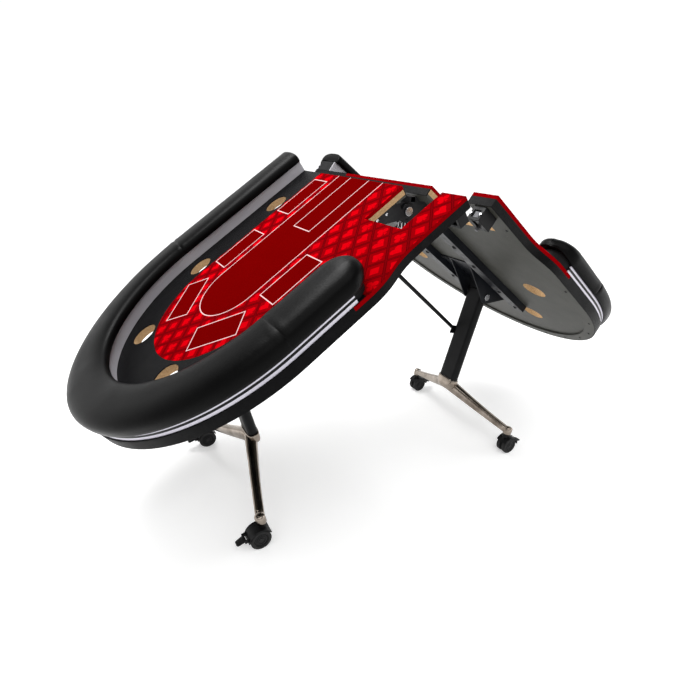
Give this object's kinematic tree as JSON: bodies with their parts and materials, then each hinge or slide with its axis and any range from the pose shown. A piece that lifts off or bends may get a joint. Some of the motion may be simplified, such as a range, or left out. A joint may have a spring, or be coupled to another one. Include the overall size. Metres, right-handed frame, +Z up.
{
  "type": "folding poker table",
  "caption": "Folding casino poker table: two mirrored halves with padded rail, cup-holder holes and dealer cut-out, on a centre hinge with two column legs on casters.",
  "frame": {"origin": "on the floor, under the middle of the centre hinge, bottom centre of the bounding box", "axes": "+X along the table, +Y towards the players side, -Y the dealer side, +Z up; both halves slope down from the middle by 35.5 degrees"},
  "size_m": [2.1712, 1.19, 1.25],
  "materials": {
    "mdf_board": "raw board edges, grey laminate underneath",
    "red_cloth": "printed cloth",
    "black_vinyl": "matt vinyl",
    "black_board": "painted",
    "light_diffuser": "translucent white",
    "black_plastic": "moulded",
    "black_leather": "leather-look cover over foam",
    "black_steel": "satin black",
    "bright_steel": "bright",
    "polished_foot": "polished",
    "wheel_rubber": "matt"
  },
  "bodies": {
    "carriage": {"hinge_spine": "black_steel", "hinge_discs": "black_plastic", "hinge_pins": "bright_steel", "hinge_hooks": "bright_steel"},
    "left_half": {"left_under_frame": "black_vinyl", "left_base_board": "mdf_board", "left_playfield_board": "mdf_board", "left_playing_cloth": "red_cloth", "left_racetrack": "black_vinyl", "left_edge_band": "black_vinyl", "left_riser": "black_board", "left_inner_light": "light_diffuser", "left_outer_lights": "light_diffuser", "left_outer_dark_strip": "black_plastic", "left_rail_pad": "black_leather", "left_hinge_leaves": "black_steel", "left_beams": "black_steel", "left_leg_bracket": "black_steel", "left_leg_pin": "bright_steel", "left_strut_lug": "black_steel", "latch_keeper": "black_plastic"},
    "left_leg": {"left_column": "black_steel", "left_foot": "polished_foot", "left_knuckle": "black_steel"},
    "left_strut_arm": {"left_strut": "black_steel"},
    "left_near_caster": {"left_near_caster_housing": "black_plastic"},
    "left_near_wheels": {"left_near_caster_wheels": "wheel_rubber"},
    "left_near_pedal": {"left_near_brake_pedal": "black_plastic"},
    "left_far_caster": {"left_far_caster_housing": "black_plastic"},
    "left_far_wheels": {"left_far_caster_wheels": "wheel_rubber"},
    "left_far_pedal": {"left_far_brake_pedal": "black_plastic"},
    "right_half": {"right_under_frame": "black_vinyl", "right_base_board": "mdf_board", "right_playfield_board": "mdf_board", "right_playing_cloth": "red_cloth", "right_racetrack": "black_vinyl", "right_edge_band": "black_vinyl", "right_riser": "black_board", "right_inner_light": "light_diffuser", "right_outer_lights": "light_diffuser", "right_outer_dark_strip": "black_plastic", "right_rail_pad": "black_leather", "right_hinge_leaves": "black_steel", "right_beams": "black_steel", "right_leg_bracket": "black_steel", "right_leg_pin": "bright_steel", "right_strut_lug": "black_steel", "latch_case": "black_plastic", "latch_screws": "bright_steel"},
    "right_leg": {"right_column": "black_steel", "right_foot": "polished_foot", "right_knuckle": "black_steel"},
    "right_strut_arm": {"right_strut": "black_steel"},
    "right_near_caster": {"right_near_caster_housing": "black_plastic"},
    "right_near_wheels": {"right_near_caster_wheels": "wheel_rubber"},
    "right_near_pedal": {"right_near_brake_pedal": "black_plastic"},
    "right_far_caster": {"right_far_caster_housing": "black_plastic"},
    "right_far_wheels": {"right_far_caster_wheels": "wheel_rubber"},
    "right_far_pedal": {"right_far_brake_pedal": "black_plastic"},
    "latch_slider": {"latch_bolt": "bright_steel"}
  },
  "joints": [
    {"name": "left_fold", "type": "hinge", "parent": "carriage", "child": "left_half", "pos_m": [0, 0, 1.09235], "axis": [0, -1, 0], "range_deg": [-35.5, 19.5]},
    {"name": "left_leg_fold", "type": "hinge", "parent": "left_half", "child": "left_leg", "pos_m": [-0.62046, 0, 0.67067], "axis": [0, 1, 0], "range_deg": [-21.01, 11.55]},
    {"name": "left_strut_swing", "type": "hinge", "parent": "right_half", "child": "left_strut_arm", "pos_m": [0.12446, -0.067, 1.05271], "axis": [0, -1, 0], "range_deg": [-60.84, 33.43]},
    {"name": "left_near_swivel", "type": "hinge", "parent": "left_leg", "child": "left_near_caster", "pos_m": [-0.59167, -0.336, 0.08006], "axis": [-0.2504, 0, 0.9681], "continuous": true},
    {"name": "left_near_roll", "type": "hinge", "parent": "left_near_caster", "child": "left_near_wheels", "pos_m": [-0.60648, -0.336, 0.0375], "axis": [0, 1, 0], "continuous": true},
    {"name": "left_near_brake", "type": "hinge", "parent": "left_near_caster", "child": "left_near_pedal", "pos_m": [-0.65824, -0.336, 0.04994], "axis": [0, -1, 0], "range_deg": [0, 12]},
    {"name": "left_far_swivel", "type": "hinge", "parent": "left_leg", "child": "left_far_caster", "pos_m": [-0.59167, 0.336, 0.08006], "axis": [-0.2504, 0, 0.9681], "continuous": true},
    {"name": "left_far_roll", "type": "hinge", "parent": "left_far_caster", "child": "left_far_wheels", "pos_m": [-0.60648, 0.336, 0.0375], "axis": [0, 1, 0], "continuous": true},
    {"name": "left_far_brake", "type": "hinge", "parent": "left_far_caster", "child": "left_far_pedal", "pos_m": [-0.65824, 0.336, 0.04994], "axis": [0, -1, 0], "range_deg": [0, 12]},
    {"name": "right_fold", "type": "hinge", "parent": "carriage", "child": "right_half", "pos_m": [0, 0, 1.09235], "axis": [0, 1, 0], "range_deg": [-35.5, 19.5]},
    {"name": "right_leg_fold", "type": "hinge", "parent": "right_half", "child": "right_leg", "pos_m": [0.62046, 0, 0.67067], "axis": [0, -1, 0], "range_deg": [-21.01, 11.55]},
    {"name": "right_strut_swing", "type": "hinge", "parent": "left_half", "child": "right_strut_arm", "pos_m": [-0.12446, 0.067, 1.05271], "axis": [0, 1, 0], "range_deg": [-60.84, 33.43]},
    {"name": "right_near_swivel", "type": "hinge", "parent": "right_leg", "child": "right_near_caster", "pos_m": [0.59167, -0.336, 0.08006], "axis": [0.2504, 0, 0.9681], "continuous": true},
    {"name": "right_near_roll", "type": "hinge", "parent": "right_near_caster", "child": "right_near_wheels", "pos_m": [0.60648, -0.336, 0.0375], "axis": [0, 1, 0], "continuous": true},
    {"name": "right_near_brake", "type": "hinge", "parent": "right_near_caster", "child": "right_near_pedal", "pos_m": [0.65824, -0.336, 0.04994], "axis": [0, 1, 0], "range_deg": [0, 12]},
    {"name": "right_far_swivel", "type": "hinge", "parent": "right_leg", "child": "right_far_caster", "pos_m": [0.59167, 0.336, 0.08006], "axis": [0.2504, 0, 0.9681], "continuous": true},
    {"name": "right_far_roll", "type": "hinge", "parent": "right_far_caster", "child": "right_far_wheels", "pos_m": [0.60648, 0.336, 0.0375], "axis": [0, 1, 0], "continuous": true},
    {"name": "right_far_brake", "type": "hinge", "parent": "right_far_caster", "child": "right_far_pedal", "pos_m": [0.65824, 0.336, 0.04994], "axis": [0, 1, 0], "range_deg": [0, 12]},
    {"name": "latch_slide", "type": "slide", "parent": "right_half", "child": "latch_slider", "axis": [-0.8141, 0, 0.5807], "range_m": [0, 0.022]}
  ],
  "couplings": [
    {"joint": "left_leg_fold", "follows": "left_fold", "ratio": 0.59155},
    {"joint": "left_strut_swing", "follows": "left_fold", "ratio": 1.7136},
    {"joint": "right_fold", "follows": "left_fold", "ratio": 1},
    {"joint": "right_leg_fold", "follows": "left_fold", "ratio": 0.59155},
    {"joint": "right_strut_swing", "follows": "left_fold", "ratio": 1.7136}
  ]
}
